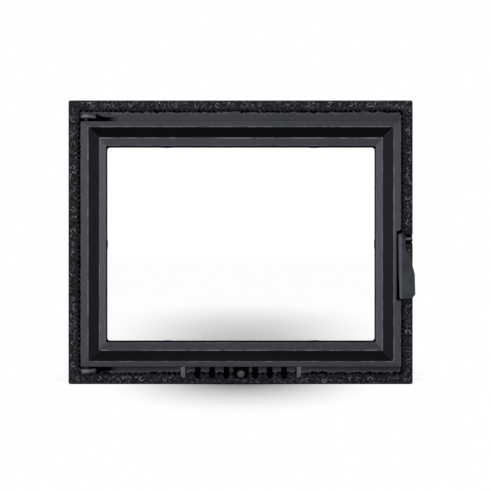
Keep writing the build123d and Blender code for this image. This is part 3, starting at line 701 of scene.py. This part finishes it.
def metal(name, level, rough, metallic, wear, sheen=0.5, black_to=None):
    """Metal or thin paint on it, stained in places,
    and dead black as painted shade to the left of a place if that is given.
    """
    paint = Paint(bpy.data.materials.new(name))
    black = None
    # Painted shade: dead black to the left of black_to.
    if black_to:
        x, _, _ = paint.axes()
        black = 1 - x.between(black_to - 1 * MM, black_to)
    grain = paint.noise(1500, 3, 0.6)
    stain = paint.noise(90, 4, 0.6).between(0.42, 0.72)
    return paint.finish(
        black=black, Base_Color=paint.blend(grey(level, 1.2), grey(level * wear, 1.2), stain),
        Roughness=rough + grain * 0.12, Metallic=metallic, Specular_IOR_Level=sheen,
        Normal=paint.bump(grain, 0.04 * MM))


# One rod steel in two copies: the dark one is painted shade, the bright one a painted highlight.
shaded_rod = metal("shaded_rod_steel", 0.03, 0.38, 1.0, 0.55)
bright_rod = metal("bright_rod", 0.20, 0.22, 1.0, 0.5, black_to=PIN_LIT_FROM)
sheet_steel = metal("sheet_steel", 0.40, 0.34, 1.0, 0.62)
plated_steel = metal("plated_steel", 0.55, 0.26, 1.0, 0.75)
slide_black = metal("slide_black", 0.001, 0.7, 0.0, 1.8, sheen=0.03)
knob_black = metal("knob_black", 0.032, 0.26, 0.0, 1.6)
for name in ("hinge_pin_top", "hinge_pin_bottom", "latch_keeper", "pin_clip"):
    coat(nodes[name], shaded_rod)
for name in (
    "glass_clip_top_left", "glass_clip_top_right", "glass_clip_bottom_left", "glass_clip_bottom_right",
    "glass_clip_left", "glass_clip_right", "slide_guide_left", "slide_guide_right",
):
    coat(nodes[name], sheet_steel)
for name in ("glass_clip_screws", "keeper_rivets", "knob_nut", "guide_screws"):
    coat(nodes[name], plated_steel)
coat(nodes["handle_pin"], bright_rod)
coat(nodes["air_slide"], slide_black)
coat(nodes["air_knob"], knob_black)


# The glass is a flat clear pane; only a faint reflection shows it.
# Behind its edge is pale woven tape, and a black knitted rope seals the leaf.
TAPE_THREADS = 420
ROPE_THREADS = 300


def glass_material():
    paint = Paint(bpy.data.materials.new("clear_glass"))
    clear = paint.node("ShaderNodeBsdfTransparent", {}, {"Color": (1, 1, 1, 1)})
    gloss = paint.node("ShaderNodeBsdfGlossy", {}, {"Color": (1, 1, 1, 1), "Roughness": 0.03})
    mirror = paint.node("ShaderNodeFresnel", {}, {"IOR": 1.45}) * 0.3
    return paint.end(paint.mix(mirror, clear, gloss))


def woven(name, level, threads):
    """Threads of glass fibre, over and under, with this many to a metre."""
    paint = Paint(bpy.data.materials.new(name))
    x, _, z = paint.axes()
    over = ((x + z) * (threads * math.tau)).sine()
    under = ((x - z) * (threads * math.tau)).sine()
    fuzz = paint.noise(1400, 3, 0.6)
    weave = (over * under * 0.5 + 0.5) * 0.7 + fuzz * 0.3
    return paint.finish(
        Base_Color=paint.blend(grey(level * 0.55, 1.2), grey(level, 1.15), weave),
        Roughness=0.85 + fuzz * 0.1, Specular_IOR_Level=0.2,
        Normal=paint.bump(weave, 0.4 * MM))


coat(nodes["glass_pane"], glass_material())
coat(nodes["glass_gasket"], woven("tape_weave", 0.42, TAPE_THREADS))
coat(nodes["door_gasket"], woven("rope_knit", 0.05, ROPE_THREADS))


# A plain pale floor. Near the door, in a soft ellipse, the camera sees it darker: a painted shadow over
# its real shading, darkest close behind the collar, where a painted contact shadow lies.
# Further off it is as white as the wall behind.
FLOOR_SIZE = 14.0
FLOOR_DROP = 0.2 * MM
FLOOR_PALE = 0.8
# Floor colours seen by the camera: a painted shadow near the door, darker still as a painted contact
# shadow.
FLOOR_SHADOW_SEEN = 0.5
FLOOR_CONTACT_SHADE = 0.12
FLOOR_MIRRORED = 0.12
SHADOW_HALF_WIDTH = 0.14
SHADOW_SPREAD = 0.21
SHADOW_FRONT = 0.22
SHADOW_BACK = 1.7

bpy.ops.object.select_all(action="DESELECT")
bpy.ops.mesh.primitive_plane_add(size=FLOOR_SIZE, location=(0, 0, -FLOOR_DROP))
floor = bpy.context.object
floor.name = "floor"
settle(floor)


def plain(level):
    """A neutral grey."""
    return (level, level, level, 1)


def floor_material():
    paint = Paint(bpy.data.materials.new("pale_floor"))
    x, y, _ = paint.axes()
    seen = paint.ray("Is Camera Ray").most(paint.ray("Is Transmission Ray"))
    glossy = paint.ray("Is Glossy Ray")
    door_behind = y.between(0, 0.3)
    # A soft ellipse round the door in which the painted shadow shows; outside it the floor is white.
    wide = paint.part_of(y, 0, SHADOW_BACK) * SHADOW_SPREAD + SHADOW_HALF_WIDTH
    deep = y.most(0) / SHADOW_BACK - y.least(0) / SHADOW_FRONT
    away = ((x / wide) ** 2 + deep ** 2) ** 0.5
    # A painted contact shadow close behind the collar.
    contact_shadow = y.between(0, 0.05) * (1 - y.between(0.2, 0.55)) * (1 - x.unsigned().between(0.10, 0.30))
    far = away.between(0.0, 1.45) * (1 - contact_shadow)
    shade = paint.blend(plain(FLOOR_PALE), plain(FLOOR_SHADOW_SEEN), seen)
    shade = paint.blend(shade, plain(FLOOR_MIRRORED), glossy * (1 - door_behind))
    shade = paint.blend(shade, plain(FLOOR_CONTACT_SHADE), seen * contact_shadow)
    matt = paint.node("ShaderNodeBsdfDiffuse", {}, {"Color": shade})
    white = paint.node("ShaderNodeEmission", {}, {"Color": plain(1), "Strength": 1.0})
    return paint.end(paint.mix((seen * far).most(glossy * door_behind), matt, white))


coat(floor, floor_material())


# The studio is white to the camera and an even pale grey to the door, with four soft boxes.
# What the paint mirrors is dim in front of the door and white behind it.
STUDIO_FILL = 0.62
STUDIO_DIM = 0.10
DOOR_MIDDLE = (0, 0, 0.2)


def studio_light():
    world = bpy.data.worlds.new("studio")
    paint = Paint(world, "Generated")
    _, y, _ = paint.axes()
    glossy = paint.ray("Is Glossy Ray")
    seen = paint.ray("Is Camera Ray").most(paint.ray("Is Transmission Ray"))
    white = seen.most(glossy * y.between(0, 0.4))
    fill = paint.ray("Is Diffuse Ray") * STUDIO_FILL
    level = white.most(fill).most(glossy * STUDIO_DIM)
    light = paint.node("ShaderNodeBackground", {}, {"Color": plain(1), "Strength": level})
    return paint.end(light, "ShaderNodeOutputWorld")


def softbox(name, place, width, height, power):
    """A rectangular studio lamp aimed at the door."""
    data = bpy.data.lights.new(name, "AREA")
    data.shape = "RECTANGLE"
    data.size, data.size_y, data.energy = width, height, power
    lamp = bpy.data.objects.new(name, data)
    lamp.location = place
    lamp.rotation_euler = (Vector(DOOR_MIDDLE) - Vector(place)).to_track_quat("-Z", "Y").to_euler()
    bpy.context.scene.collection.objects.link(lamp)


bpy.context.scene.world = studio_light()
softbox("front_box", (-0.3, -2.4, 0.7), 1.9, 1.1, 22)
softbox("left_box", (-1.7, -0.9, 0.5), 0.7, 1.0, 7)
softbox("right_box", (1.7, -0.9, 0.5), 0.7, 1.0, 5)
softbox("top_box", (0, 0, 1.7), 0.8, 0.5, 6)
